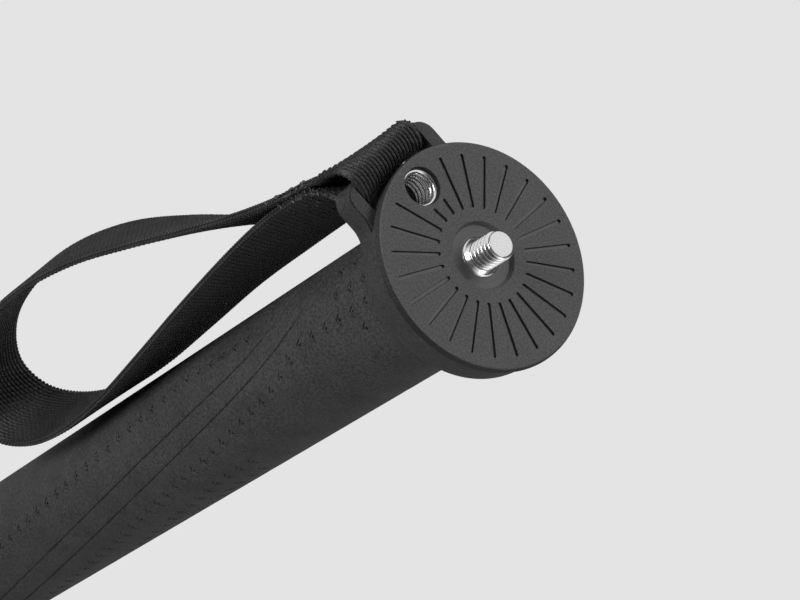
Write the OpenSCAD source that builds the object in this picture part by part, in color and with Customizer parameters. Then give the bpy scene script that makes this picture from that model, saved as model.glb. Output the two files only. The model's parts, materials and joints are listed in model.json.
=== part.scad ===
// Four-section telescopic camera monopod with lever locks.
// The origin is the centre of the seating face, where a camera rests.
// +Z runs up along the camera screw and +X points at the wrist strap's lug.

/* [Seating pad] */
// Diameter of the round seating pad
pad_d = 47; // [44:0.5:54]
// Thickness of the pad over the plate
pad_t = 1.05; // [0.9:0.05:2]
// Depth of the lip that drops over the plate's edge
pad_lip = 0.65; // [0.3:0.05:1.2]
// Width of the bevel round the pad's upper edge
pad_bevel = 0.7; // [0.3:0.1:1.2]
// Number of radial grip grooves
groove_n = 25; // [12:1:32]
// Width of one groove
groove_w = 0.75; // [0.5:0.05:1]
// Depth of one groove
groove_depth = 0.55; // [0.3:0.05:0.8]
// Radius at which the grooves start
groove_r_in = 9.7; // [9:0.1:11]
// Radius at which the long grooves end
groove_r_out = 20.8; // [18:0.1:21]
// Radius at which the grooves in front of the bush end
groove_r_short = 13.3; // [12.5:0.1:13.4]
// Diameter of the recess round the camera screw at its mouth
recess_d = 14; // [13:0.5:17]

/* [Head] */
// Thickness of the metal plate under the pad
plate_t = 2.5; // [2:0.1:4]
// Radius of the plate
plate_r = 22.2; // [21.8:0.1:22.4]
// Height of the collar's side above the flare
collar_side = 6.2; // [5:0.1:9]
// Radius of the collar at its upper rim
collar_r = 22.9; // [22.7:0.1:24]
// How far the collar's side leans in towards the flare
collar_lean = 0.4; // [0:0.1:1]
// Height of the flare that runs down to the grip
flare_h = 12; // [10:0.5:16]
// Wall of the collar's outer shell
shell_t = 2.2; // [1.6:0.1:3]
// Number of ribs inside the collar
rib_n = 12; // [6:1:16]
// Depth to which the plate's spigot reaches into the tube
spigot_len = 22; // [18:1:30]

/* [Camera screw] */
// Outer diameter of the quarter-inch camera screw
screw_d = 6.35; // [6.35:0.05:6.4]
// Height of the screw's tip above the seating face
screw_h = 6.6; // [5:0.1:7.5]
// Height of the screw's chamfer
screw_chamfer = 1; // [0.5:0.1:1.4]
// Height of the cone between the screw's flange and its thread
root_h = 0.95; // [0.5:0.05:0.95]
// Diameter of the screw's flange
flange_d = 8.24; // [7.6:0.02:9]
// Thickness of the screw's flange
flange_t = 1.2; // [0.8:0.1:1.6]
// Diameter of the bushing that holds the screw
seat_d = 10.4; // [9.8:0.1:12]
// Length of the bushing that holds the screw
seat_len = 9; // [7:0.5:10]

/* [Threaded bush] */
// Distance of the bush from the camera screw
bush_x = 17.85; // [17.7:0.05:18]
// Outer diameter of the bush
bush_d = 7.6; // [7.4:0.05:7.8]
// Diameter of the hole in the pad above the bush
bush_hole_d = 8; // [7.9:0.05:8.2]
// Length of the bush
bush_len = 6.6; // [5:0.1:7.5]

/* [Strap lug] */
// Distance of the lug's bar from the monopod's axis
bar_x = 26.15; // [26:0.05:28]
// Depth of the bar's axis under the seating face
bar_z = 5.4; // [5:0.1:6]
// Diameter of the bar
bar_d = 2.7; // [2.4:0.1:2.8]
// Thickness of the lug's arms
lug_t = 5; // [4.6:0.1:5.6]
// Radius of the arms' outer corners
lug_corner = 3.8; // [2:0.1:4.4]
// Radius of the hollow corners where the arms meet the collar
lug_sweep = 6; // [2:0.5:8]
// Height of the step round the arms' upper edge
lug_step = 0.35; // [0.2:0.05:0.6]
// Width of the lug over its two arms
lug_w = 27.2; // [26.4:0.2:30]
// Clear width of the slot between the arms
slot_w = 20.8; // [20.6:0.1:21.4]

/* [Wrist strap] */
// Width of the webbing
strap_w = 20; // [15:0.5:20]
// Thickness of the webbing
strap_t = 1.2; // [0.9:0.1:1.2]
// Gap between the bar and the webbing round it
strap_gap = 0.15; // [0.1:0.05:0.2]

/* [Grip] */
// Diameter of the rubber grip
grip_d = 30; // [29.5:0.5:31]
// Length of the grip below the flare
grip_len = 280; // [220:5:320]

/* [Tubes] */
// Outer diameter of the upper tube
tube_1_d = 26; // [25.6:0.1:26.6]
// Wall of the upper tube
tube_1_wall = 1.2; // [1:0.05:1.4]
// Wall of the three lower tubes
tube_wall = 1; // [0.8:0.05:1.1]
// Radial gap between one tube and the next
tube_gap = 0.8; // [0.7:0.05:1]
// Length of the upper tube
tube_1_len = 431; // [380:1:480]
// Width of the groove that keeps a tube from turning
key_w = 2.4; // [1.8:0.1:3]
// Depth of that groove
key_depth = 0.5; // [0.3:0.05:0.5]
// Length of the guide shells at a tube's upper end
shim_len = 30; // [20:1:40]
// Distance from one tube's upper end down to the next one's
tube_stagger = 36.5; // [30:0.5:50]

/* [Lever locks] */
// Height of one lock collar
lock_h = 36; // [34:0.5:42]
// Length of the socket that is bonded to the tube above
socket_h = 18; // [14:0.5:20]
// Wall of the lock collar round that tube
socket_wall = 2.8; // [2.4:0.1:3.4]
// Wall of the guide bush between collar and tube
guide_wall = 1.3; // [1.1:0.1:1.5]
// Thickness of the guide bush's flange
guide_flange = 1.5; // [1:0.1:2]
// Width of the slit that the lever closes
slit_w = 2.2; // [1.6:0.1:3]
// Thickness of one clamp ear
ear_t = 4.2; // [3.8:0.1:5]
// Reach of the ears beyond the collar
ear_reach = 7; // [6.6:0.1:8]
// Height of the lever
lever_h = 13; // [12:0.5:14]
// Radius of the lever's cam
cam_r = 5.2; // [5:0.1:5.6]
// Offset of the cam from its pivot
cam_throw = 0.6; // [0.3:0.05:0.8]
// Thickness of the lever's arm
arm_t = 3; // [2.4:0.1:3.6]
// Angle round the tube at which the lever's arm ends
arm_end = 168; // [120:2:180]
// Diameter of the clamp bolt
bolt_d = 5; // [4:0.5:5]
// Diameter of the lever's pivot pin
pin_d = 3; // [2.5:0.1:3.4]

/* [Foot] */
// Diameter of the rubber foot at the ground
foot_d = 25; // [22:0.5:30]
// Height of the rubber foot
foot_h = 29; // [26:0.5:36]
// Wall of the foot round the lowest tube
foot_wall = 1.8; // [1.4:0.1:2.6]
// Number of ring grooves in the sole
tread_n = 3; // [1:1:4]
// Height to which the sole stays wide
sole_h = 4.5; // [3:0.5:6]
// Height at which the foot has narrowed to its socket
waist_h = 18; // [15:0.5:22]
// Length of the plug inside the lowest tube
plug_len = 14; // [10:1:20]

/* [Hidden] */
$fn = 96;

// Clearances: running fits, free gaps and the margin by which a cut passes through a face
run_gap = 0.06;
free_gap = 0.3;
lock_gap = 0.5;
cut = 1;

// Heights of the head, counted down from the seating face
plate_top = -pad_t;
plate_low = plate_top - plate_t;
pad_low = plate_top - pad_lip;
collar_top = pad_low - 0.1;
side_low = collar_top - collar_side;
flare_low = side_low - flare_h;
grip_r = grip_d / 2;
side_r = collar_r - collar_lean;
screw_r = screw_d / 2;
seat_low = plate_top - seat_len;
spigot_low = plate_low - spigot_len;

// Radii of the four tubes, counted from 1
tube_1_r = tube_1_d / 2;
function wall(n) = n == 1 ? tube_1_wall : tube_wall;
function tube_r(n) = n == 1 ? tube_1_r : tube_r(n - 1) - wall(n - 1) - tube_gap;
function bore_r(n) = tube_r(n) - wall(n);

// Heights of the tubes and locks with the monopod pushed together
tube_1_top = flare_low + flare_h - 1.2;
tube_1_low = tube_1_top - tube_1_len;
function lock_top(n) = n == 1 ? tube_1_low + socket_h : lock_top(n - 1) - lock_h - lock_gap;
function tube_low(n) = n == 4 ? foot_top - foot_h / 2 : lock_top(n) - socket_h;
function tube_top(n) = n == 1 ? tube_1_top : spigot_low - tube_stagger * (n - 1);
function lock_low(n) = lock_top(n) - lock_h;
foot_top = lock_low(3) - lock_gap;
foot_low = foot_top - foot_h;

// The inside of a pressed groove is wider than the groove by most of the wall on each side
function bead_w(n) = key_w + 1.6 * wall(n);

// Places of one lever lock, about the tube's axis
function collar_out(n) = tube_r(n) + socket_wall;
function clamp_bore(n) = tube_r(n + 1) + guide_wall;
ear_y = slit_w / 2 + ear_t;
cam_gap = 0.1;
function pivot_x(n) = collar_out(n) + 3;
pivot_y = ear_y + cam_r + cam_throw + cam_gap;
function lever_mid(n) = lock_low(n) + 1 + lever_h / 2;
eye_r = 3;
fork_gap = 0.2;
eye_h = bolt_d + 0.6;
nut_r = 4.6;
nut_t = 3.6;
nut_sink = 2.2;

// How far the cam's lobe stays inside its own circle, and how far the lever's tip turns out
lobe_inset = 0.4;
tip_turn = 3.2;

// Depth to which the strap lug is moulded into the collar
lug_root = 7;

// Screws that hold the plate down
plate_screw_r = 17.8;
plate_screw_angles = [90, 180, 270];
plate_screw_len = 9;

// The strap's course in the plane through the lug: distance from the axis, height and twist
bar_r = bar_d / 2;
eye_mid = bar_r + strap_gap + strap_t / 2;
strap_outer_leg = [[2.6, -2, 4], [3.2, -4.6, 9], [2.3, -8.2, 20], [0.75, -12.6, 32],
                   [0.75, -18.6, 36], [1.55, -27.6, 37], [3.95, -40.1, 35], [8.35, -54.6, 28],
                   [14.35, -72.6, 18], [19.75, -92.6, 10], [22.35, -114.6, 5], [21.35, -136.6, 2],
                   [16.95, -154.6, 0], [8.95, -165.6, 0]];
strap_inner_leg = [[-0.05, -164.6, 0], [-6.05, -154.6, -3], [-8.65, -139.6, -8],
                   [-8.45, -119.6, -13], [-6.25, -96.6, -18], [-3.45, -70.6, -24],
                   [-1.65, -46.6, -32], [-0.85, -30.6, -36], [-0.85, -18.6, -36],
                   [-1.05, -12.6, -30], [-1.3, -9.2, -13], [-1.7, -6.4, -5], [-2.1, -3.2, 0]];

// A curve through hand-chosen points, with a given number of steps between two of them
function through(a, b, c, d, t) =
    0.5 * (2 * b + (c - a) * t + (2 * a - 5 * b + 4 * c - d) * t * t
           + (3 * b - a - 3 * c + d) * t * t * t);
function ring(list, i) = list[(i + len(list)) % len(list)];
function closed_curve(list, steps) =
    [for (i = [0:len(list) - 1], k = [0:steps - 1])
        through(ring(list, i - 1), ring(list, i), ring(list, i + 1), ring(list, i + 2), k / steps)];

// The loop round the lug's bar, then both legs of the wrist loop
strap_points = concat(
    [for (a = [180:-30:0]) [eye_mid * cos(a), eye_mid * sin(a), 0]],
    strap_outer_leg, strap_inner_leg);
strap_path = closed_curve(strap_points, 3);

// The four corners of the webbing at one station
function strap_ring(i) =
    let (p = strap_path[i],
         ahead = ring(strap_path, i + 1) - ring(strap_path, i - 1),
         run = norm([ahead[0], ahead[1]]),
         side = [-ahead[1] / run, ahead[0] / run],
         across = [sin(p[2]) * side[0], cos(p[2]), sin(p[2]) * side[1]],
         out = [cos(p[2]) * side[0], -sin(p[2]), cos(p[2]) * side[1]],
         mid = [bar_x + p[0], 0, -bar_z + p[1]])
    [for (s = [[1, 1], [-1, 1], [-1, -1], [1, -1]])
        mid + s[0] * strap_w / 2 * across + s[1] * strap_t / 2 * out];

// The concave curve from the collar's side down to the grip
function flare_at(t) =
    [(1 - t) ^ 3 * side_r + 3 * (1 - t) ^ 2 * t * (side_r - 1) + (3 - 2 * t) * t ^ 2 * grip_r,
     (1 - t) ^ 3 * side_low + 3 * (1 - t) ^ 2 * t * (side_low - 0.05 * flare_h)
     + 3 * (1 - t) * t ^ 2 * (side_low - 0.29 * flare_h) + t ^ 3 * flare_low];
flare = [for (i = [0:12]) flare_at(i / 12)];

module polar(angle, r) { rotate(angle) translate([r, 0, 0]) children(); }

// Rubber seating pad with a bevelled edge, radial grooves and a lip over the plate
module top_pad() {
    r = pad_d / 2;
    floor_r = recess_d / 2 - 0.5;
    color("dimgray") difference() {
        rotate_extrude() polygon([
            [floor_r, plate_top], [recess_d / 2, 0], [r - pad_bevel, 0], [r, -0.8 * pad_t],
            [r, pad_low], [plate_r, pad_low], [plate_r, plate_top]]);
        translate([bush_x, 0, plate_top - cut]) cylinder(d = bush_hole_d, h = pad_t + 2 * cut);
        for (i = [0:groove_n - 1]) {
            angle = (i + 0.5) * 360 / groove_n;
            near_bush = min(angle, 360 - angle) < 360 / groove_n;
            radial_groove(angle, near_bush ? groove_r_short : groove_r_out);
        }
    }
}

// One round-ended groove from its inner radius out to the given one
module radial_groove(angle, r_out) {
    half = groove_w / 2;
    rotate(angle) translate([0, 0, -groove_depth]) {
        translate([groove_r_in + half, -half, 0])
            cube([r_out - groove_r_in - groove_w, groove_w, groove_depth + cut]);
        for (x = [groove_r_in + half, r_out - half])
            translate([x, 0, 0]) cylinder(r = half, h = groove_depth + cut, $fn = 24);
    }
}

// Turned plate with the spigot that is bonded into the upper tube
module head_plate() {
    spigot_r = bore_r(1) - run_gap / 2;
    color("silver") difference() {
        union() {
            translate([0, 0, plate_low]) cylinder(r = plate_r, h = plate_t);
            translate([0, 0, spigot_low]) cylinder(r = spigot_r, h = spigot_len);
        }
        translate([0, 0, seat_low]) cylinder(d = seat_d, h = seat_len + cut);
        translate([0, 0, spigot_low - cut])
            cylinder(r = spigot_r - 3, h = seat_low - 2.5 - spigot_low + cut);
        translate([bush_x, 0, plate_low - cut]) cylinder(d = bush_d, h = plate_t + 2 * cut);
        for (angle = plate_screw_angles) polar(angle, plate_screw_r) countersink(0.1);
        translate([-spigot_r - cut, -bead_w(1) / 2 - run_gap, spigot_low - cut])
            cube([key_depth + cut + 0.2, bead_w(1) + 2 * run_gap, spigot_len + cut - 0.01]);
    }
}

// Shape of a countersunk screw from the plate's top down, grown by a clearance
module countersink(grow) {
    rotate_extrude($fn = 48) polygon([
        [0, plate_top + (grow > 0 ? cut : 0)], [2.8 + grow, plate_top + (grow > 0 ? cut : 0)],
        [2.8 + grow, plate_top], [1.5 + grow, plate_top - 1.3],
        [1.5 + grow, plate_top - plate_screw_len - grow], [0, plate_top - plate_screw_len - grow]]);
}

// Three countersunk screws under the pad, each with a cross recess
module plate_screws() {
    color("gainsboro") for (angle = plate_screw_angles) polar(angle, plate_screw_r) difference() {
        countersink(0);
        for (turn = [0, 90]) rotate(turn) translate([-1.4, -0.25, plate_top - 0.9])
            cube([2.8, 0.5, 0.9 + cut]);
    }
}

// Bushing in the plate's centre that holds the camera screw
module screw_seat() {
    color("gray") difference() {
        translate([0, 0, seat_low]) cylinder(d = seat_d, h = seat_len);
        translate([0, 0, plate_top - flange_t]) cylinder(d = flange_d, h = flange_t + cut);
        translate([0, 0, seat_low + 1]) cylinder(d = screw_d, h = seat_len);
    }
}

// Quarter-inch stud with its flange, at the thread's outer diameter
module camera_screw() {
    flange_top = plate_top + 0.05;
    color("lightgray") rotate_extrude() polygon([
        [0, seat_low + 1], [screw_r - 0.5, seat_low + 1], [screw_r, seat_low + 1.5],
        [screw_r, plate_top - flange_t], [flange_d / 2, plate_top - flange_t],
        [flange_d / 2, flange_top], [screw_r, flange_top + root_h], [screw_r, screw_h - screw_chamfer],
        [screw_r - 0.55, screw_h - 0.1], [screw_r - 0.75, screw_h], [0, screw_h]]);
}

// Steel bush with a quarter-inch thread, in front of the strap lug
module thread_bush() {
    top = plate_top + 0.05;
    color("lightgray") translate([bush_x, 0, top - bush_len]) difference() {
        cylinder(d = bush_d, h = bush_len);
        translate([0, 0, -cut]) cylinder(d = screw_d, h = bush_len + 2 * cut);
        translate([0, 0, bush_len - 0.3]) cylinder(r1 = screw_r, r2 = screw_r + 0.35, h = 0.31);
    }
}

// Moulded collar: flared shell, ribs, screw bosses, tube socket and strap lug in one piece
module head_collar() {
    color("dimgray") difference() {
        union() {
            rotate_extrude() polygon(concat(
                [[tube_1_r, flare_low], [tube_1_r, collar_top], [collar_r, collar_top],
                 [collar_r - 0.1, collar_top - 2.2]], flare));
            rotate_extrude() polygon([
                [bore_r(1), plate_low], [tube_1_r + cut, plate_low],
                [tube_1_r + cut, tube_1_top], [bore_r(1), tube_1_top]]);
            strap_lug();
        }
        translate([0, 0, plate_low]) cylinder(r = plate_r, h = plate_t + cut);
        collar_pockets();
        translate([bush_x, 0, plate_top + 0.05 - bush_len]) cylinder(d = bush_d, h = bush_len + cut);
        for (angle = plate_screw_angles) polar(angle, plate_screw_r)
            translate([0, 0, plate_top - plate_screw_len - 0.1])
                cylinder(r = 1.5, h = plate_screw_len, $fn = 48);
    }
}

// Hollows between the collar's shell and its tube socket, left open round ribs and bosses
module collar_pockets() {
    boss_in = tube_1_r + 2;
    shell_in = side_r - shell_t;
    difference() {
        rotate_extrude() polygon([
            [boss_in, plate_low + cut], [shell_in, plate_low + cut], [shell_in, side_low + 0.4],
            [shell_in - 2.2, side_low - 1.6], [boss_in, side_low - 4.6]]);
        for (i = [0:rib_n - 1]) rotate((i + 0.5) * 360 / rib_n)
            translate([0, -0.7, flare_low]) cube([collar_r, 1.4, flare_h + collar_side + 4]);
        translate([bush_x, 0, flare_low]) cylinder(d = bush_d + 3, h = flare_h + collar_side + 4);
        for (angle = plate_screw_angles) polar(angle, plate_screw_r)
            translate([0, 0, flare_low]) cylinder(r = 3, h = flare_h + collar_side + 4);
    }
}

// Two arms with a stepped upper edge and the round bar between them
module strap_lug() {
    translate([0, 0, -bar_z - lug_t / 2]) {
        linear_extrude(lug_t - lug_step) lug_plan(0);
        linear_extrude(lug_t) lug_plan(0.5);
    }
    arm_w = (lug_w - slot_w) / 2;
    translate([bar_x, -slot_w / 2 - arm_w / 2, -bar_z])
        rotate([-90, 0, 0]) cylinder(r = bar_r, h = slot_w + arm_w);
}

// Plan of the arms, rounded at their tips and swept out where they join the collar
module lug_plan(inset) {
    tip = bar_x + bar_r;
    root_x = side_r - lug_root;
    straight = tip - lug_corner;
    intersection() {
        offset(r = -lug_sweep - inset) offset(delta = lug_sweep) union() {
            circle(r = side_r);
            for (side = [-1, 1]) translate([straight, side * (lug_w / 2 - lug_corner)])
                circle(r = lug_corner);
            translate([0, -lug_w / 2]) square([straight, lug_w]);
            translate([0, lug_corner - lug_w / 2]) square([tip, lug_w - 2 * lug_corner]);
        }
        difference() {
            translate([root_x, -lug_w]) square([tip, 2 * lug_w]);
            offset(r = 1) offset(delta = -1) difference() {
                translate([0, -slot_w / 2]) square([tip + slot_w, slot_w]);
                circle(r = side_r);
            }
        }
    }
}

// Webbing loop: one closed band round the lug's bar, down and back up
module wrist_strap() {
    n = len(strap_path);
    corners = [for (i = [0:n - 1]) each strap_ring(i)];
    faces = [for (i = [0:n - 1], k = [0:3])
        let (a = 4 * i + k, b = 4 * i + (k + 1) % 4,
             c = 4 * ((i + 1) % n) + (k + 1) % 4, d = 4 * ((i + 1) % n) + k)
        each [[a, c, b], [a, d, c]]];
    color("#202020") polyhedron(corners, faces);
}

// Rubber sleeve over the upper tube, rounded at its lower end
module grip_sleeve() {
    low = flare_low - grip_len;
    color("#303030") rotate_extrude() polygon(concat(
        [[tube_1_r, flare_low], [tube_1_r, low]],
        [for (a = [270:15:360]) [grip_r - 1.2 + 1.2 * cos(a), low + 1.2 + 1.2 * sin(a)]],
        [[grip_r, flare_low]]));
}

// Drawn tube with one pressed groove on its rear side
module tube_section(n) {
    r = tube_r(n);
    difference() {
        circle(r = r);
        difference() {
            circle(r = bore_r(n));
            translate([-bore_r(n), 0]) square([2 * key_depth, bead_w(n)], center = true);
        }
        translate([-r, 0]) square([2 * key_depth, key_w], center = true);
    }
}

// Any of the four tubes; the three lower ones have peg holes for their guide shells
module tube(n) {
    color(n == 1 ? "#2b2b2b" : "silver") difference() {
        translate([0, 0, tube_low(n)]) linear_extrude(tube_top(n) - tube_low(n)) tube_section(n);
        if (n > 1) translate([0, 0, tube_top(n) - shim_len / 2]) rotate([90, 0, 0])
            cylinder(r = 1.5, h = 4 * tube_r(n), center = true, $fn = 48);
    }
}

// Two half shells that guide a tube's upper end inside the tube above it
module guide_shells(n) {
    r_in = tube_r(n);
    r_out = bore_r(n - 1) - run_gap;
    split = bead_w(n - 1) + 2 * free_gap;
    color("white") for (side = [0, 180]) rotate(side) {
        intersection() {
            difference() {
                translate([0, 0, tube_top(n) - shim_len]) cylinder(r = r_out, h = shim_len);
                translate([0, 0, tube_top(n) - shim_len - cut])
                    cylinder(r = r_in, h = shim_len + 2 * cut);
                translate([-2 * r_out, -split / 2, tube_top(n) - shim_len - cut])
                    cube([4 * r_out, split, shim_len + 2 * cut]);
            }
            translate([-2 * r_out, 0, tube_top(n) - shim_len]) cube([4 * r_out, 2 * r_out, shim_len]);
        }
        intersection() {
            translate([0, bore_r(n), tube_top(n) - shim_len / 2])
                rotate([-90, 0, 0]) cylinder(r = 1.5, h = r_out - bore_r(n), $fn = 48);
            translate([0, 0, tube_top(n) - shim_len]) cylinder(r = r_out, h = shim_len);
        }
    }
}

// Collar of one lock: a socket on the tube above, a slit clamp below and two ears
module lock_collar(n) {
    low = lock_low(n);
    r = collar_out(n);
    mid = lever_mid(n);
    tube_end = tube_low(n);
    color("#262626") difference() {
        union() {
            rotate_extrude() translate([0, low]) polygon([
                [0, 0], [r - 0.8, 0], [r, 0.8], [r, lock_h - 1.6], [r - 1.2, lock_h], [0, lock_h]]);
            ears(n);
        }
        translate([0, 0, tube_end - guide_flange]) cylinder(r = tube_r(n), h = socket_h + lock_h);
        translate([0, 0, low - cut]) cylinder(r = clamp_bore(n), h = lock_h);
        translate([0, -slit_w / 2, low - cut])
            cube([r + ear_reach + cut, slit_w, tube_end - guide_flange - low]);
        flex_slot(n);
        translate([pivot_x(n), 0, mid]) rotate([90, 0, 0])
            cylinder(d = bolt_d + 0.2, h = 4 * ear_y, center = true);
        translate([pivot_x(n), -ear_y - cut, mid]) rotate([-90, 0, 0])
            cylinder(r = nut_r + 0.1, h = nut_sink + cut, $fn = 6);
    }
}

// Slot under the socket that lets the clamp close; it runs round the side with the ears
module flex_slot(n) {
    top = tube_low(n) - guide_flange - 0.4;
    r = collar_out(n);
    translate([0, 0, top - 1.2]) difference() {
        cylinder(r = r + ear_reach, h = 1.2);
        translate([-2 * r - 4, -2 * r, -cut]) cube([2 * r, 4 * r, 1.2 + 2 * cut]);
    }
}

// The two clamp ears, rounded at their outer corners
module ears(n) {
    r = collar_out(n);
    reach = r + ear_reach;
    round_r = 2;
    translate([0, 0, lock_low(n) + 1.25]) linear_extrude(lever_h - 0.5) union() {
        translate([r - 3, -ear_y]) square([ear_reach + 3 - round_r, 2 * ear_y]);
        translate([r, -ear_y + round_r]) square([ear_reach, 2 * (ear_y - round_r)]);
        for (side = [-1, 1]) translate([reach - round_r, side * (ear_y - round_r)])
            circle(r = round_r);
    }
}

// Low-friction bush in a clamp, with a flange under the tube's end and a key in the groove
module guide_bush(n) {
    low = lock_low(n) + 0.6;
    r_in = tube_r(n + 1) + run_gap;
    top = tube_low(n);
    color("white") difference() {
        union() {
            translate([0, 0, low]) cylinder(r = clamp_bore(n), h = top - guide_flange - low);
            translate([0, 0, top - guide_flange]) cylinder(r = tube_r(n), h = guide_flange);
        }
        difference() {
            translate([0, 0, low - cut]) cylinder(r = r_in, h = lock_h);
            translate([-tube_r(n + 1) + key_depth - 0.1 - 2, -key_w / 2 + 0.1, low - 2 * cut])
                cube([2, key_w - 0.2, lock_h + cut]);
        }
        translate([0, -slit_w / 2, low - cut]) cube([2 * tube_r(n), slit_w, top - low + 2 * cut]);
    }
}

// Plan of the lever: an eccentric cam that runs out into an arm round the collar
module lever_plan(n) {
    inner = collar_out(n) + lock_gap;
    outer = inner + arm_t;
    start = atan2(pivot_y, pivot_x(n)) + 1;
    reach = norm([pivot_x(n), pivot_y]);
    lobe_span = 40;
    tip_span = 26;
    function outer_r(a) =
        outer + (reach + cam_r - lobe_inset - outer) * (max(0, start + lobe_span - a) / lobe_span) ^ 2;
    function tip_out(a) = tip_turn * (max(0, a - arm_end + tip_span) / tip_span) ^ 2;
    translate([pivot_x(n), pivot_y - cam_throw]) circle(r = cam_r);
    polygon(concat(
        [for (a = [start:3:arm_end]) (outer_r(a) + tip_out(a)) * [cos(a), sin(a)]],
        [for (a = [arm_end:-3:start]) (inner + tip_out(a)) * [cos(a), sin(a)]]));
}

// Lever of one lock, forked round the eye of the clamp bolt and turned out at its tip
module lock_lever(n) {
    mid = lever_mid(n);
    color("#1c1c1c") difference() {
        translate([0, 0, mid - lever_h / 2]) linear_extrude(lever_h) lever_plan(n);
        translate([pivot_x(n), pivot_y, mid - lever_h]) cylinder(d = pin_d, h = 2 * lever_h);
        translate([pivot_x(n) - eye_r - free_gap, pivot_y - 2 * cam_r, mid - eye_h / 2 - fork_gap])
            cube([3 * cam_r, 4 * cam_r, eye_h + 2 * fork_gap]);
    }
}

// Pin through the lever's fork and the bolt's eye
module pivot_pin(n) {
    color("lightgray") translate([pivot_x(n), pivot_y, lever_mid(n) - lever_h / 2])
        cylinder(d = pin_d, h = lever_h);
}

// Eye bolt that draws the ears together
module clamp_bolt(n) {
    far = -ear_y + nut_sink - nut_t - 0.6;
    color("lightgray") translate([pivot_x(n), 0, lever_mid(n)]) difference() {
        union() {
            translate([0, far, 0]) rotate([-90, 0, 0]) cylinder(d = bolt_d, h = pivot_y - far);
            translate([0, pivot_y, -eye_h / 2]) cylinder(r = eye_r, h = eye_h);
        }
        translate([0, pivot_y, -eye_h]) cylinder(r = pin_d / 2 + run_gap, h = 2 * eye_h);
    }
}

// Hexagon nut, sunk in the far ear
module clamp_nut(n) {
    color("lightgray") translate([pivot_x(n), -ear_y + nut_sink, lever_mid(n)])
        rotate([90, 0, 0]) difference() {
            cylinder(r = nut_r, h = nut_t, $fn = 6);
            translate([0, 0, -cut]) cylinder(d = bolt_d, h = nut_t + 2 * cut);
        }
}

// Plug that closes the lowest tube inside the foot
module foot_plug() {
    r = bore_r(4) - key_depth - 0.05;
    color("#404040") {
        translate([0, 0, tube_low(4)]) cylinder(r = r, h = plug_len);
        translate([0, 0, tube_low(4) - 2]) cylinder(r = tube_r(4), h = 2);
    }
}

// Rubber foot: a cup on the lowest tube that widens to a treaded sole
module rubber_foot() {
    top_r = tube_r(4) + foot_wall;
    sole_r = foot_d / 2;
    socket_low = tube_low(4) - 2;
    pitch = (sole_r - 3) / tread_n;
    color("#181818") difference() {
        rotate_extrude() translate([0, foot_low]) polygon([
            [0, 0], [sole_r - 1.5, 0], [sole_r - 0.4, 0.5], [sole_r, 1.6], [sole_r, sole_h],
            [sole_r - 0.6, sole_h + 1.5], [top_r + 1.2, waist_h - 2], [top_r + 0.4, waist_h + 2],
            [top_r, foot_h - 1], [top_r - 0.8, foot_h], [0, foot_h]]);
        translate([0, 0, socket_low]) cylinder(r = tube_r(4), h = foot_h);
        for (i = [0:tread_n - 1]) translate([0, 0, foot_low - cut]) difference() {
            cylinder(r = sole_r - 2.4 - i * pitch, h = cut + 0.9);
            translate([0, 0, -cut]) cylinder(r = sole_r - 3.6 - i * pitch, h = 3 * cut + 0.9);
        }
    }
}

top_pad();
head_plate();
plate_screws();
screw_seat();
camera_screw();
thread_bush();
head_collar();
wrist_strap();
grip_sleeve();
tube(1);  // tube_1
tube(2);  // tube_2
tube(3);  // tube_3
tube(4);  // tube_4
guide_shells(2);  // guide_shells_2
guide_shells(3);  // guide_shells_3
guide_shells(4);  // guide_shells_4
lock_collar(1);  // lock_collar_1
lock_collar(2);  // lock_collar_2
lock_collar(3);  // lock_collar_3
guide_bush(1);  // guide_bush_1
guide_bush(2);  // guide_bush_2
guide_bush(3);  // guide_bush_3
lock_lever(1);  // lock_lever_1
lock_lever(2);  // lock_lever_2
lock_lever(3);  // lock_lever_3
pivot_pin(1);  // pivot_pin_1
pivot_pin(2);  // pivot_pin_2
pivot_pin(3);  // pivot_pin_3
clamp_bolt(1);  // clamp_bolt_1
clamp_bolt(2);  // clamp_bolt_2
clamp_bolt(3);  // clamp_bolt_3
clamp_nut(1);  // clamp_nut_1
clamp_nut(2);  // clamp_nut_2
clamp_nut(3);  // clamp_nut_3
foot_plug();
rubber_foot();
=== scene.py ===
"""Camera monopod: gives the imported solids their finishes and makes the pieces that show."""

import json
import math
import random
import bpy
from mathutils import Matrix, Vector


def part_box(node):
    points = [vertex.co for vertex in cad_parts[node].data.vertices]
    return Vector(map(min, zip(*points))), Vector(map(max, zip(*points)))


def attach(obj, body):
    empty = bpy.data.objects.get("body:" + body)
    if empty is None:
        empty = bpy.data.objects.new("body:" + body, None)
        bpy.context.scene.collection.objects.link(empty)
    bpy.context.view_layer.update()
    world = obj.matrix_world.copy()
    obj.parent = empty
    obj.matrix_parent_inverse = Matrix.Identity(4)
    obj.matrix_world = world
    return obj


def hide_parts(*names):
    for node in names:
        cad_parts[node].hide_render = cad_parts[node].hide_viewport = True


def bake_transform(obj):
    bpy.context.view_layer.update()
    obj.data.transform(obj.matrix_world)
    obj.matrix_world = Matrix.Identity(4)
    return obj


bl_info = {
    "name": "Camera Monopod",
    "version": (1, 0, 0),
    "blender": (4, 5, 0),
    "location": "View3D > Sidebar > Monopod",
    "description": "Dresses a telescopic camera monopod: "
                   "pad, screw, collar, strap, grip, tubes, locks and foot",
    "category": "Add Mesh",
}

from functools import partial

import bmesh
import bpy
from bpy.props import FloatProperty, FloatVectorProperty, IntProperty, PointerProperty
from mathutils import Matrix, Vector

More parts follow.
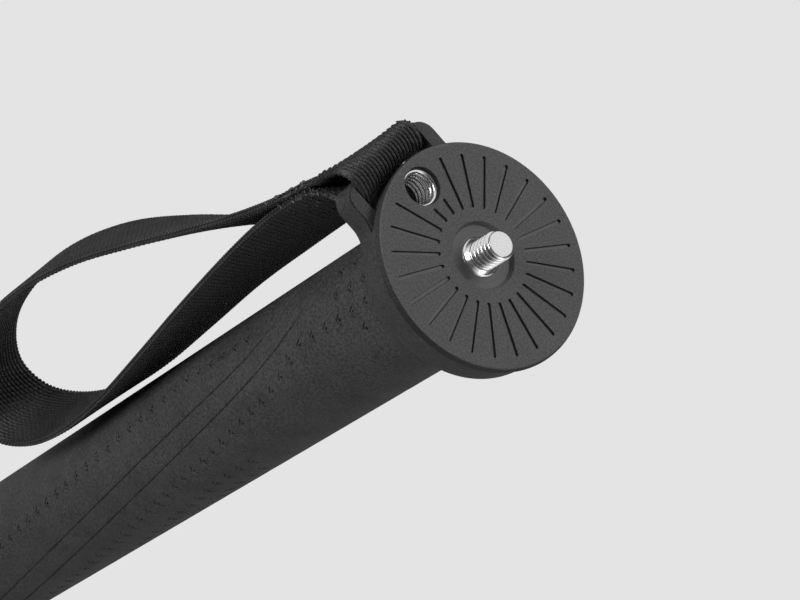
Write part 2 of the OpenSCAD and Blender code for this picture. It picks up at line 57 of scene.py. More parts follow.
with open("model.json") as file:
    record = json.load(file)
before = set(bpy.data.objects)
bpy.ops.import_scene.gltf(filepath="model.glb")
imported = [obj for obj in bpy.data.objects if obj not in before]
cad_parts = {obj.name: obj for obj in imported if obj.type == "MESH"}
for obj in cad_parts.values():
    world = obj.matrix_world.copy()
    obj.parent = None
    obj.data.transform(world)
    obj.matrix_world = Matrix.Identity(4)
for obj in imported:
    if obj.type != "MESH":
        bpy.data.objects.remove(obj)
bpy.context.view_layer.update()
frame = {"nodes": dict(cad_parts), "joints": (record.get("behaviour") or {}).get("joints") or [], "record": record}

MM = 0.001
PAD_LOW, PAD_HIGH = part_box("top_pad")
GRIP_LOW, GRIP_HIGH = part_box("grip_sleeve")
BUSH_LOW, BUSH_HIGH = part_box("thread_bush")
SCREW_LOW, SCREW_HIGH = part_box("camera_screw")
FOOT_LOW, FOOT_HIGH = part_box("rubber_foot")
BAR = Vector((26.15, 0.0, -5.4)) * MM
DARK_SIDE = (0.1, 0.6, 0.79)
EVEN = (1, 1, 1)
DRAWN = (1, 1, 0.02)
SELVEDGE = 0.5 * MM


def length(name, description, millimetres):
    """A length property with its default in millimetres."""
    return FloatProperty(
        name=name, description=description, default=millimetres * MM, unit="LENGTH", precision=5)


def tone(name, description, default):
    """A colour property."""
    return FloatVectorProperty(
        name=name, description=description, default=default, subtype="COLOR", size=3)


class MonopodThreads(bpy.types.PropertyGroup):
    """Sizes of the quarter-inch threads."""

    pitch: length("Pitch", "Distance from one crest to the next", 1.27)
    depth: length("Depth", "Depth of the thread", 0.62)
    radius: length("Radius", "Radius of the thread's crests", 3.175)


class MonopodStrap(bpy.types.PropertyGroup):
    """Sizes of the wrist strap's webbing."""

    width: length("Width", "Width of the webbing", 20)
    thickness: length("Thickness", "Thickness of the webbing without its ribs", 0.75)
    ribs: IntProperty(
        name="Ribs", description="Number of yarn ribs side by side across the webbing", default=20)
    rib_rise: length("Rib rise", "Height of a rib above the webbing's ground", 0.38)
    pick: length("Pick", "Distance from one raised yarn to the next along a rib", 1.6)
    twill: FloatProperty(
        name="Twill", description="Angle at which a raised yarn leans across its rib",
        default=math.radians(13), subtype="ANGLE")
    yarn_width: length("Yarn width", "Width of one raised yarn", 0.42)
    yarn_rise: length("Yarn rise", "Height of a raised yarn above its rib", 0.15)


class MonopodGrip(bpy.types.PropertyGroup):
    """Sizes of the pattern moulded into the grip."""

    groove_width: length("Groove width", "Width of the long curved grooves", 0.5)
    groove_depth: length("Groove depth", "Depth of the long curved grooves", 0.3)
    chevron_width: length("Chevron width", "Width of one sunk chevron", 4.0)
    chevron_depth: length("Chevron depth", "Depth of a chevron at its lower point", 0.7)
    chevron_pitch: length("Chevron pitch", "Distance from one chevron to the next in a column", 5.4)


class MonopodColours(bpy.types.PropertyGroup):
    """Colours of the finishes."""

    pad: tone("Pad", "Rubber of the seating pad", (0.092, 0.092, 0.092))
    collar: tone("Collar", "Moulded plastic of the head collar", (0.048, 0.048, 0.048))
    grip: tone("Grip", "Rubber of the grip", (0.056, 0.056, 0.056))
    webbing: tone("Webbing", "Yarn of the wrist strap", (0.024, 0.024, 0.024))
    # The webbing's ground colour is painted shade: far darker than the yarn, so the gaps between ribs read as
    # shaded.
    ground: tone("Webbing ground", "Webbing between the raised yarns", (0.003, 0.003, 0.003))
    steel: tone("Steel", "Plated steel of screws and pins", (0.85, 0.85, 0.85))
    aluminium: tone("Aluminium", "Dark anodised, turned aluminium of the head plate", (0.14, 0.14, 0.142))
    upper_tube: tone("Upper tube", "Black anodised upper tube", (0.03, 0.03, 0.032))
    lower_tube: tone("Lower tubes", "Grey anodised lower tubes", (0.3, 0.305, 0.315))
    lock: tone("Locks", "Moulded plastic of the lock collars", (0.035, 0.035, 0.036))
    lever: tone("Levers", "Moulded plastic of the levers", (0.026, 0.026, 0.028))
    guide: tone("Guides", "Natural plastic of the guides", (0.66, 0.64, 0.58))
    foot: tone("Foot", "Rubber of the foot", (0.024, 0.024, 0.024))
    background: tone("Background", "Floor and backdrop", (0.835, 0.835, 0.835))


# Material nodes


def new_material(name, colour, roughness, metallic=0.0, specular=0.5):
    """A Principled material and its shader."""
    material = bpy.data.materials.new(name)
    material.use_nodes = True
    material.diffuse_color = (*colour, 1.0)
    shader = material.node_tree.nodes["Principled BSDF"]
    shader.inputs["Base Color"].default_value = (*colour, 1.0)
    shader.inputs["Roughness"].default_value = roughness
    shader.inputs["Metallic"].default_value = metallic
    shader.inputs["Specular IOR Level"].default_value = specular
    return material, shader


def math_node(tree, operation, first, second=None):
    """A calculation on numbers or sockets."""
    node = tree.nodes.new("ShaderNodeMath")
    node.operation = operation
    for socket, value in zip(node.inputs, (first, second)):
        if value is None:
            continue
        if isinstance(value, (int, float)):
            socket.default_value = value
        else:
            tree.links.new(value, socket)
    return node.outputs[0]


def place_of(material, stretch=(1.0, 1.0, 1.0)):
    """The object's own coordinates, stretched along its axes."""
    nodes, links = material.node_tree.nodes, material.node_tree.links
    coordinates = nodes.new("ShaderNodeTexCoord")
    mapping = nodes.new("ShaderNodeMapping")
    mapping.inputs["Scale"].default_value = stretch
    links.new(coordinates.outputs["Object"], mapping.inputs["Vector"])
    return mapping.outputs["Vector"]


def noise(material, place, grain, detail=3.0, roughness=0.5):
    """Noise whose spots measure about the given grain, in metres."""
    nodes, links = material.node_tree.nodes, material.node_tree.links
    texture = nodes.new("ShaderNodeTexNoise")
    texture.inputs["Scale"].default_value = 1.0 / grain
    texture.inputs["Detail"].default_value = detail
    texture.inputs["Roughness"].default_value = roughness
    links.new(place, texture.inputs["Vector"])
    return texture.outputs["Fac"]


def remap(material, value, low, high, out_low, out_high):
    nodes, links = material.node_tree.nodes, material.node_tree.links
    node = nodes.new("ShaderNodeMapRange")
    for socket, number in (("From Min", low), ("From Max", high), ("To Min", out_low), ("To Max", out_high)):
        node.inputs[socket].default_value = number
    links.new(value, node.inputs["Value"])
    return node.outputs["Result"]


def uneven_gloss(material, shader, factor, span, low, high):
    """Roughness that runs from low to high while the factor crosses its span."""
    value = remap(material, factor, *span, low, high)
    material.node_tree.links.new(value, shader.inputs["Roughness"])


def tint(material, shader, colour, factor, low, high):
    """Base colour that runs from low times colour to high times colour as factor goes from 0 to 1."""
    nodes, links = material.node_tree.nodes, material.node_tree.links
    mix = nodes.new("ShaderNodeMix")
    mix.data_type = "RGBA"
    mix.inputs["A"].default_value = (*(c * low for c in colour), 1.0)
    mix.inputs["B"].default_value = (*(min(1.0, c * high) for c in colour), 1.0)
    links.new(factor, mix.inputs["Factor"])
    links.new(mix.outputs["Result"], shader.inputs["Base Color"])


def relief(material, shader, height, distance, strength=1.0, below=None):
    """Bump of the given depth, in metres, on top of another bump where below is given."""
    nodes, links = material.node_tree.nodes, material.node_tree.links
    bump = nodes.new("ShaderNodeBump")
    bump.inputs["Distance"].default_value = distance
    bump.inputs["Strength"].default_value = strength
    links.new(height, bump.inputs["Height"])
    if below is not None:
        links.new(below, bump.inputs["Normal"])
    links.new(bump.outputs["Normal"], shader.inputs["Normal"])
    return bump.outputs["Normal"]


def moulded(name, colour, roughness, grain, depth, mottle=0.1, speckle=0.0):
    """Moulded rubber or plastic: eroded surface texture with a fine speckle and a faint mottle."""
    material, shader = new_material(name, colour, roughness)
    place = place_of(material)
    fine = noise(material, place, grain, 2.0)
    broad = noise(material, place, 9 * MM, 3.0)
    span = mottle + speckle
    both = math_node(
        material.node_tree, "ADD",
        remap(material, broad, 0.35, 0.65, 0.0, mottle / span),
        remap(material, fine, 0.35, 0.65, 0.0, speckle / span))
    tint(material, shader, colour, both, 1 - span, 1 + span)
    uneven_gloss(material, shader, fine, (0.3, 0.7), roughness - 0.06, roughness + 0.08)
    relief(material, shader, fine, depth)
    return material


def painted_rim_shade(material, radius, level, lean, share):
    """Paints shade into the material outside a radius and below a level that rises towards +Y: the pad's rounded
    lower edge is darkened as if in shadow over the collar.
    """
    nodes, links = material.node_tree.nodes, material.node_tree.links
    shader = nodes["Principled BSDF"]
    base = shader.inputs["Base Color"].links[0].from_socket
    split = nodes.new("ShaderNodeSeparateXYZ")
    links.new(place_of(material), split.inputs[0])
    x, y, z = split.outputs
    combine = partial(math_node, material.node_tree)
    squares = combine("ADD", combine("MULTIPLY", x, x), combine("MULTIPLY", y, y))
    outside = combine("GREATER_THAN", squares, radius * radius)
    depth = combine("SUBTRACT", z, combine("MULTIPLY", y, lean))
    soft = 0.04 * MM
    below = remap(material, depth, level + soft, level - soft, 0.0, share)
    mix = nodes.new("ShaderNodeMix")
    mix.data_type = "RGBA"
    mix.inputs["B"].default_value = (0.0, 0.0, 0.0, 1.0)
    links.new(base, mix.inputs["A"])
    links.new(combine("MULTIPLY", outside, below), mix.inputs["Factor"])
    links.new(mix.outputs["Result"], shader.inputs["Base Color"])


def metal(name, colour, roughness, stretch, grain, depth, metallic=1.0):
    """Metal with fine tool or drawing marks, stretched along one axis."""
    material, shader = new_material(name, colour, roughness, metallic)
    place = place_of(material, stretch)
    marks = noise(material, place, grain, 3.0, 0.6)
    tint(material, shader, colour, remap(material, marks, 0.3, 0.7, 0.0, 1.0), 0.9, 1.06)
    uneven_gloss(material, shader, marks, (0.3, 0.7), roughness - 0.05, roughness + 0.08)
    relief(material, shader, marks, depth)
    return material


def turned(name, colour, roughness, pitch, depth):
    """Turned metal: fine rings about the object's axis."""
    material, shader = new_material(name, colour, roughness, 0.3)
    nodes, links = material.node_tree.nodes, material.node_tree.links
    place = place_of(material)
    rings = nodes.new("ShaderNodeTexWave")
    rings.wave_type = "RINGS"
    rings.rings_direction = "Z"
    rings.inputs["Scale"].default_value = 0.31 / pitch
    rings.inputs["Distortion"].default_value = 0.4
    rings.inputs["Detail"].default_value = 1.0
    links.new(place, rings.inputs["Vector"])
    ring = rings.outputs["Fac"]
    tint(material, shader, colour, ring, 0.72, 1.2)
    uneven_gloss(material, shader, ring, (0.0, 1.0), roughness - 0.06, roughness + 0.1)
    relief(material, shader, ring, depth)
    return material


def webbing_material(name, colour):
    """Nylon yarn: dark between the fibres, with a soft sheen on them."""
    material, shader = new_material(name, colour, 0.45, specular=0.45)
    place = place_of(material)
    fibres = noise(material, place, 0.22 * MM, 3.0, 0.6)
    worn = noise(material, place, 6 * MM, 2.0)
    tint(material, shader, colour, remap(material, worn, 0.3, 0.7, 0.0, 1.0), 0.7, 1.6)
    relief(material, shader, fibres, 0.06 * MM)
    shader.inputs["Sheen Weight"].default_value = 0.12
    shader.inputs["Sheen Roughness"].default_value = 0.4
    return material


MATERIALS = {}


def shade(colour, share):
    """A darker or lighter version of a colour."""
    return tuple(share * c for c in colour)


def make_materials(colours):
    """One material for each finish, by its slot in the record."""
    for make, name, colour, *values in (
            (moulded, "pad_rubber", colours.pad, 0.62, 0.4 * MM, 0.2 * MM, 0.05, 0.34),
            # Groove walls: the pad's rubber darkened as painted shade.
            (moulded, "groove_wall", shade(colours.pad, 0.25), 0.6, 0.4 * MM, 0.05 * MM, 0.05, 0.1),
            # Groove floors: the pad's rubber lightened as painted light.
            (moulded, "groove_floor", shade(colours.pad, 1.7), 0.5, 0.3 * MM, 0.05 * MM, 0.05, 0.15),
            (moulded, "head_plastic", colours.collar, 0.5, 0.5 * MM, 0.2 * MM, 0.1, 0.34),
            (moulded, "grip_rubber", colours.grip, 0.6, 0.6 * MM, 0.34 * MM, 0.14, 0.42),
            (webbing_material, "webbing", colours.webbing),
            (webbing_material, "webbing_ground", colours.ground),
            (webbing_material, "webbing_thread", shade(colours.webbing, 6)),
            (metal, "bright_steel", colours.steel, 0.22, EVEN, 0.3 * MM, 0.004 * MM),
            (metal, "plated_steel", colours.steel, 0.3, EVEN, 0.25 * MM, 0.005 * MM),
            (turned, "turned_aluminium", colours.aluminium, 0.45, 0.22 * MM, 0.012 * MM),
            (metal, "black_tube", colours.upper_tube, 0.38, DRAWN, 0.12 * MM, 0.003 * MM, 0.6),
            (metal, "grey_tube", colours.lower_tube, 0.34, DRAWN, 0.12 * MM, 0.003 * MM, 0.9),
            (moulded, "guide_plastic", colours.guide, 0.45, 0.3 * MM, 0.005 * MM, 0.03),
            (moulded, "lock_plastic", colours.lock, 0.5, 0.18 * MM, 0.02 * MM, 0.08),
            (moulded, "lever_plastic", colours.lever, 0.4, 0.2 * MM, 0.012 * MM, 0.08),
            (moulded, "foot_rubber", colours.foot, 0.7, 0.2 * MM, 0.03 * MM, 0.15),
            # Grip rubber darkened as painted shade, for faces cut below the grip's surface.
            (moulded, "grip_cut", shade(colours.grip, 0.22), 0.6, 0.4 * MM, 0.05 * MM, 0.05, 0.1),
    ):
        MATERIALS[name] = make(name, colour, *values)
    # Painted shade on the pad's rounded lower edge, where it hangs over the collar.
    painted_rim_shade(MATERIALS["pad_rubber"], radius=22.5 * MM, level=-0.54 * MM, lean=0.0206, share=0.9)


# Meshes


def new_object(name, mesh):
    piece = bpy.data.objects.new(name, mesh)
    bpy.context.scene.collection.objects.link(piece)
    return piece


def mesh_of(name, points, faces):
    mesh = bpy.data.meshes.new(name)
    mesh.from_pydata([tuple(p) for p in points], [], faces)
    mesh.update()
    return mesh


def smooth(mesh, degrees=38):
    mesh.shade_smooth()
    mesh.set_sharp_from_angle(angle=math.radians(degrees))


def face_outward(mesh, triangles=False):
    """Turns the faces of a closed mesh outward, as triangles where asked."""
    work = bmesh.new()
    work.from_mesh(mesh)
    if triangles:
        bmesh.ops.triangulate(work, faces=work.faces)
    bmesh.ops.recalc_face_normals(work, faces=work.faces)
    work.to_mesh(mesh)
    work.free()


def flatten(piece):
    """Turns the piece with its modifiers into a plain mesh."""
    depsgraph = bpy.context.evaluated_depsgraph_get()
    mesh = bpy.data.meshes.new_from_object(piece.evaluated_get(depsgraph), depsgraph=depsgraph)
    piece.modifiers.clear()
    piece.data = mesh
    return piece


def finish_piece(piece, slot, body, *nodes):
    """Material picked by slot name, body, and the hidden solids that the piece stands for."""
    if not piece.data.materials:
        piece.data.materials.append(MATERIALS[slot])
    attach(piece, body)
    if nodes:
        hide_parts(*nodes)
    return piece


def lathe(name, outline, segments):
    """Turns an outline of (radius, height) about Z; it runs from the bottom up on the outside."""
    points, faces = [], []
    for r, z in outline:
        for k in range(segments):
            a = 2 * math.pi * k / segments
            points.append((r * math.cos(a), r * math.sin(a), z))
    rows = len(outline)
    for i in range(rows):
        j = (i + 1) % rows
        for k in range(segments):
            m = (k + 1) % segments
            faces.append((i * segments + k, i * segments + m, j * segments + m, j * segments + k))
    return mesh_of(name, points, faces)


def dressed(node, bevel, slot, body, degrees=32, segments=2):
    """A clean copy of a solid with its edges broken, which stands for that solid."""
    mesh = frame["nodes"][node].data.copy()
    work = bmesh.new()
    work.from_mesh(mesh)
    bmesh.ops.remove_doubles(work, verts=work.verts, dist=0.002 * MM)
    bmesh.ops.dissolve_limit(
        work, angle_limit=math.radians(0.3), verts=work.verts, edges=work.edges)
    work.to_mesh(mesh)
    work.free()
    mesh.materials.clear()
    piece = new_object("dressed_" + node, mesh)
    smooth(mesh)
    edge = piece.modifiers.new("Broken edges", "BEVEL")
    edge.width = bevel
    edge.segments = segments
    edge.limit_method = "ANGLE"
    edge.angle_limit = math.radians(degrees)
    edge.harden_normals = True
    flatten(piece)
    return finish_piece(piece, slot, body, node)


# Geometry Nodes


def node_tree(name, sockets):
    """A tree with a geometry input and output and the named inputs; returns it with its two ends."""
    tree = bpy.data.node_groups.new(name, "GeometryNodeTree")
    tree.interface.new_socket("Geometry", in_out="INPUT", socket_type="NodeSocketGeometry")
    for label, kind in sockets:
        tree.interface.new_socket(label, in_out="INPUT", socket_type="NodeSocket" + kind)
    tree.interface.new_socket("Geometry", in_out="OUTPUT", socket_type="NodeSocketGeometry")
    return tree, tree.nodes.new("NodeGroupInput"), tree.nodes.new("NodeGroupOutput")


def run_tree(piece, tree, values):
    """Adds the tree to the piece, sets its inputs by identifier and turns the result into a mesh."""
    modifier = piece.modifiers.new(tree.name, "NODES")
    modifier.node_group = tree
    for item in tree.interface.items_tree:
        if item.item_type == "SOCKET" and item.in_out == "INPUT" and item.name in values:
            modifier[item.identifier] = values[item.name]
    return flatten(piece)


def painted(tree, start, end, geometry):
    """Ends the tree with the geometry in the tree's material."""
    paint = tree.nodes.new("GeometryNodeSetMaterial")
    tree.links.new(geometry, paint.inputs["Geometry"])
    tree.links.new(start.outputs["Material"], paint.inputs["Material"])
    tree.links.new(paint.outputs[0], end.inputs[0])
    return tree


def thread_tree():
    """Cuts a helical thread into a turned wall, between two heights, with soft ends."""
    tree, start, end = node_tree("Helical thread", [
        ("Pitch", "Float"), ("Depth", "Float"), ("Low", "Float"), ("High", "Float"),
        ("Fade", "Float"), ("Core", "Float"), ("Material", "Material")])
    new, link, given = tree.nodes.new, tree.links.new, start.outputs
    calc = partial(math_node, tree)
    place = new("GeometryNodeInputPosition").outputs[0]
    split = new("ShaderNodeSeparateXYZ")
    link(place, split.inputs[0])
    x, y, z = split.outputs
    turn = calc("DIVIDE", calc("ARCTAN2", y, x), 2 * math.pi)
    climb = calc("SUBTRACT", calc("DIVIDE", z, given["Pitch"]), turn)
    wave = calc("COSINE", calc("MULTIPLY", climb, 2 * math.pi))
    wave = calc("MULTIPLY", calc("SUBTRACT", 1.0, wave), 0.5)
    up = calc("DIVIDE", calc("SUBTRACT", z, given["Low"]), given["Fade"])
    down = calc("DIVIDE", calc("SUBTRACT", given["High"], z), given["Fade"])
    fade = new("ShaderNodeClamp")
    link(calc("MINIMUM", up, down), fade.inputs["Value"])
    cut = calc("MULTIPLY", wave, fade.outputs[0])
    cut = calc("MULTIPLY", cut, given["Depth"])
    flat = new("ShaderNodeCombineXYZ")
    link(x, flat.inputs[0])
    link(y, flat.inputs[1])
    reach = new("ShaderNodeVectorMath")
    reach.operation = "LENGTH"
    link(flat.outputs[0], reach.inputs[0])
    wall = calc("GREATER_THAN", reach.outputs["Value"], given["Core"])
    cut = calc("MULTIPLY", cut, wall)
    outward = new("ShaderNodeVectorMath")
    outward.operation = "NORMALIZE"
    link(flat.outputs[0], outward.inputs[0])
    offset = new("ShaderNodeVectorMath")
    offset.operation = "SCALE"
    link(outward.outputs[0], offset.inputs[0])
    link(calc("MULTIPLY", cut, -1.0), offset.inputs["Scale"])
    move = new("GeometryNodeSetPosition")
    link(given["Geometry"], move.inputs["Geometry"])
    link(offset.outputs[0], move.inputs["Offset"])
    return painted(tree, start, end, move.outputs[0])


def scatter_tree():
    """Puts one motif on each point, turned and sized by the point's own values."""
    tree, start, end = node_tree("Motifs on places", [
        ("Motif", "Object"), ("Size", "Float"), ("Material", "Material")])
    new, link = tree.nodes.new, tree.links.new
    turn = new("GeometryNodeInputNamedAttribute")
    turn.data_type = "FLOAT_VECTOR"
    turn.inputs["Name"].default_value = "turn"
    euler = new("FunctionNodeEulerToRotation")
    link(turn.outputs["Attribute"], euler.inputs[0])
    size = new("GeometryNodeInputNamedAttribute")
    size.data_type = "FLOAT"
    size.inputs["Name"].default_value = "size"
    motif = new("GeometryNodeObjectInfo")
    link(start.outputs["Motif"], motif.inputs["Object"])
    place = new("GeometryNodeInstanceOnPoints")
    link(start.outputs["Geometry"], place.inputs["Points"])
    link(motif.outputs["Geometry"], place.inputs["Instance"])
    link(euler.outputs[0], place.inputs["Rotation"])
    scale = math_node(tree, "MULTIPLY", size.outputs["Attribute"], start.outputs["Size"])
    link(scale, place.inputs["Scale"])
    real = new("GeometryNodeRealizeInstances")
    link(place.outputs[0], real.inputs[0])
    return painted(tree, start, end, real.outputs[0])


TREES = {}


def scatter(name, motif, places, material, size=1.0):
    """Copies of a motif mesh at the given places, each a 4x4 matrix, as one plain mesh."""
    points = bpy.data.meshes.new(name)
    points.from_pydata([m.translation for m in places], [], [])
    turns = points.attributes.new("turn", "FLOAT_VECTOR", "POINT")
    turns.data.foreach_set("vector", [v for m in places for v in m.to_euler()])
    sizes = points.attributes.new("size", "FLOAT", "POINT")
    sizes.data.foreach_set("value", [m.to_scale()[0] for m in places])
    pattern = new_object(name + "_motif", motif)
    piece = new_object(name, points)
    run_tree(piece, TREES["scatter"], {"Motif": pattern, "Size": size, "Material": material})
    bpy.data.objects.remove(pattern)
    for extra in ("turn", "size"):
        if extra in piece.data.attributes:
            piece.data.attributes.remove(piece.data.attributes[extra])
    return piece


def on_axes(place, along, out):
    """A matrix at a place whose X runs along and whose Z points out."""
    z = out.normalized()
    y = z.cross(along).normalized()
    x = y.cross(z)
    turn = Matrix((x, y, z)).transposed()
    return Matrix.Translation(place) @ turn.to_4x4()


# Seating pad and threads


class MONOPOD_OT_seating_pad(bpy.types.Operator):
    """Rubber seating pad with its radial grooves, edges softly broken; groove walls and edge lines carry painted
    shade, groove floors a painted light
    """

    bl_idname = "monopod.seating_pad"
    bl_label = "Seating Pad"

    # Width of the painted shade line left round each groove floor.
    painted_shade_line: length("Edge line", "Width of the dark line along a groove", 0.22)

    def execute(self, context):
        piece = dressed("top_pad", 0.09 * MM, "pad_rubber", "head")
        waist = PAD_HIGH.x - 0.85 * MM
        for vertex in piece.data.vertices:
            reach = math.hypot(vertex.co.x, vertex.co.y)
            if vertex.co.z < PAD_LOW.z + 0.3 * MM and reach > waist:
                vertex.co.x *= waist / reach
                vertex.co.y *= waist / reach
        piece.data.materials.append(MATERIALS["groove_wall"])
        piece.data.materials.append(MATERIALS["groove_floor"])
        work = bmesh.new()
        work.from_mesh(piece.data)
        floors = []
        first, last, sunk = 9 * MM, 22.4 * MM, -0.12 * MM
        for face in work.faces:
            middle = face.calc_center_median()
            in_groove = middle.z <= sunk and first < middle.xy.length < last
            if not in_groove or face.normal.z < -0.5:
                continue
            # Faces sunk in a groove take the painted shade; their inset floors take the painted light.
            face.material_index = 1
            if face.normal.z > 0.9:
                floors.append(face)
        bmesh.ops.inset_region(work, faces=floors, thickness=self.painted_shade_line, use_even_offset=True)
        for face in floors:
            face.material_index = 2
        work.to_mesh(piece.data)
        work.free()
        return {"FINISHED"}


def arc(centre_r, centre_z, radius, start, stop, steps):
    """Points of an arc in the outline's plane, from one angle to another in degrees."""
    return [
        (centre_r + radius * math.cos(math.radians(start + (stop - start) * i / steps)),
         centre_z + radius * math.sin(math.radians(start + (stop - start) * i / steps)))
        for i in range(steps + 1)]


def threaded(name, outline, pitch, depth, low, high):
    """A turned steel piece with a thread between two heights."""
    piece = new_object(name, lathe(name, outline, 96))
    run_tree(piece, TREES["thread"], {
        "Pitch": pitch, "Depth": depth, "Low": low, "High": high,
        "Fade": 0.5 * MM, "Core": 1 * MM, "Material": MATERIALS["bright_steel"]})
    smooth(piece.data, 80)
    return piece


class MONOPOD_OT_camera_screw(bpy.types.Operator):
    """Quarter-inch stud with a helical thread, a coned root and a chamfered tip"""

    bl_idname = "monopod.camera_screw"
    bl_label = "Camera Screw"

    flange_radius: length("Flange radius", "Radius of the flange under the thread", 4.12)
    flange_top: length("Flange top", "Height of the flange's top from the seating face", -1.0)
    cone_height: length("Cone height", "Height of the coned root", 0.95)
    tip_radius: length("Tip radius", "Radius at which the tip's chamfer ends", 2.5)
    step: length("Row spacing", "Height of one row of the wall", 0.05)

    def execute(self, context):
        sizes = context.scene.monopod_threads
        radius, top = sizes.radius, SCREW_HIGH.z
        chamfer = radius - self.tip_radius
        low, high = self.flange_top + self.cone_height, top - chamfer
        rows = round((high - low) / self.step)
        wall = [(radius, low + (high - low) * i / rows) for i in range(rows + 1)]
        flange, shoulder = self.flange_radius, self.flange_top
        rim, lip = 0.12 * MM, 0.2 * MM
        cone = [(flange, SCREW_LOW.z), (flange, shoulder - rim), (flange - rim, shoulder)]
        cone += [(flange - lip + (radius - flange + lip) * t, shoulder + self.cone_height * t)
                 for t in (0.05, 0.25, 0.5, 0.75, 0.95)]
        tip = arc(self.tip_radius, top - 0.25 * MM, 0.25 * MM, 45, 90, 4)
        outline = [(0.01 * MM, SCREW_LOW.z), *cone, *wall, *tip, (0.01 * MM, top)]
        piece = threaded("threaded_camera_screw", outline, sizes.pitch, sizes.depth,
                         low + 0.05 * MM, top + 0.1 * MM)
        finish_piece(piece, "bright_steel", "head", "camera_screw")
        return {"FINISHED"}


class MONOPOD_OT_thread_bush(bpy.types.Operator):
    """Steel bush with a helical thread in its bore"""

    bl_idname = "monopod.thread_bush"
    bl_label = "Threaded Bush"

    step: length("Row spacing", "Height of one row of the wall", 0.05)
    mouth: length("Mouth", "Width of the mouth's bevel", 0.4)

    def execute(self, context):
        sizes = context.scene.monopod_threads
        centre = Vector(((BUSH_LOW.x + BUSH_HIGH.x) / 2, 0, 0))
        outer = (BUSH_HIGH.x - BUSH_LOW.x) / 2
        low, high = BUSH_LOW.z, BUSH_HIGH.z
        root = sizes.radius
        rows = round((high - self.mouth - low) / self.step)
        wall = [(root, high - self.mouth - (high - self.mouth - low) * i / rows)
                for i in range(rows + 1)]
        rim = 0.12 * MM
        outline = [(outer, low), (outer, high - rim), (outer - rim, high),
                   (root + self.mouth, high), *wall]
        piece = threaded("threaded_bush", outline, sizes.pitch, -0.55 * sizes.depth, low, high - 0.5 * MM)
        piece.data.transform(Matrix.Translation(centre))
        finish_piece(piece, "bright_steel", "head", "thread_bush")
        return {"FINISHED"}


class MONOPOD_OT_head_collar(bpy.types.Operator):
    """Head collar with its strap lug, plate and bushing"""

    bl_idname = "monopod.head_collar"
    bl_label = "Head Collar"

    def execute(self, context):
        dressed("head_collar", 0.35 * MM, "head_plastic", "head", 32, 3)
        dressed("screw_seat", 0.08 * MM, "turned_aluminium", "head")
        dressed("head_plate", 0.1 * MM, "turned_aluminium", "head")
        dressed("plate_screws", 0.03 * MM, "plated_steel", "head")
        return {"FINISHED"}


# Wrist strap: its course about the lug's bar, in millimetres and degrees of twist

EYE = [
    (-2.0, -2.1, -1), (-2.0, 0.1, 0), (-1.2, 2, 0), (0.55, 2.8, 0), (2.15, 2.55, 1), (3.25, 1.4, 4),
    (3.7, -0.3, 8), (3.5, -2.2, 12), (2.7, -4.6, 20), (1.3, -7.6, 28)]
OUTER_LEG = [
    (0.75, -12.6, 34), (0.75, -18.6, 36), (1.55, -27.6, 37), (3.95, -40.1, 35), (8.35, -54.6, 28),
    (14.35, -72.6, 18), (19.75, -92.6, 10), (22.35, -114.6, 5), (21.35, -136.6, 2), (16.95, -154.6, 0),
    (8.95, -165.6, 0)]
INNER_LEG = [
    (-0.05, -164.6, 0), (-6.05, -154.6, -3), (-8.65, -139.6, -8), (-8.45, -119.6, -13), (-6.25, -96.6, -18),
    (-3.45, -70.6, -24), (-1.65, -46.6, -32), (-0.85, -30.6, -36), (-0.85, -18.6, -36), (-0.95, -12.6, -34),
    (-0.95, -9.2, -25), (-1.3, -6.4, -12), (-1.9, -3.8, -3)]


def closed_course(points, steps):
    """A smooth closed course through the points, with so many steps from one to the next."""
    course = []
    count = len(points)
    for i in range(count):
        a, b, c, d = (Vector(points[(i + k) % count]) for k in (-1, 0, 1, 2))
        for k in range(steps):
            t = k / steps
            course.append(0.5 * (2 * b + (c - a) * t + (2 * a - 5 * b + 4 * c - d) * t * t
                                 + (3 * b - a - 3 * c + d) * t * t * t))
    return course


class Webbing:
    """The strap's middle surface, with a place and axes at any distance along it."""

    def __init__(self, steps=6):
        course = closed_course(EYE + OUTER_LEG + INNER_LEG, steps)
        count = len(course)
        self.places, self.across, self.out, self.along, self.bow = [], [], [], [], []
        for i, point in enumerate(course):
            ahead = course[(i + 1) % count] - course[i - 1]
            run = Vector((ahead.x, 0, ahead.y)).normalized()
            side = Vector((-run.z, 0, run.x))
            twist = math.radians(point.z)
            self.places.append(BAR + Vector((point.x, 0, point.y)) * MM)
            self.across.append(math.sin(twist) * side + math.cos(twist) * Vector((0, 1, 0)))
            self.out.append(math.cos(twist) * side - math.sin(twist) * Vector((0, 1, 0)))
            self.along.append(run)
            near = min(1.0, max(0.0, (-0.5 - point.x) / 1.2)) * min(1.0, max(0.0, (point.y + 6) / 3))
            self.bow.append(0.55 * near / (2 * PAD_HIGH.x))
        gaps = [(self.places[(i + 1) % count] - self.places[i]).length for i in range(count)]
        self.starts = [sum(gaps[:i]) for i in range(count + 1)]
        self.length = self.starts[-1]

    def at(self, distance, across):
        """Place, run, across and outward axes at a distance along and a distance across."""
        distance %= self.length
        count = len(self.places)
        low, high = 0, count - 1
        while low < high:
            middle = (low + high + 1) // 2
            if self.starts[middle] <= distance:
                low = middle
            else:
                high = middle - 1
        share = (distance - self.starts[low]) / (self.starts[low + 1] - self.starts[low])
        ahead = (low + 1) % count
        place = self.places[low].lerp(self.places[ahead], share)
        side = self.across[low].lerp(self.across[ahead], share).normalized()
        out = self.out[low].lerp(self.out[ahead], share).normalized()
        run = self.along[low].lerp(self.along[ahead], share).normalized()
        bow = self.bow[low] + (self.bow[ahead] - self.bow[low]) * share
        return place + side * across - Vector((bow * across * across, 0, 0)), run, side, out


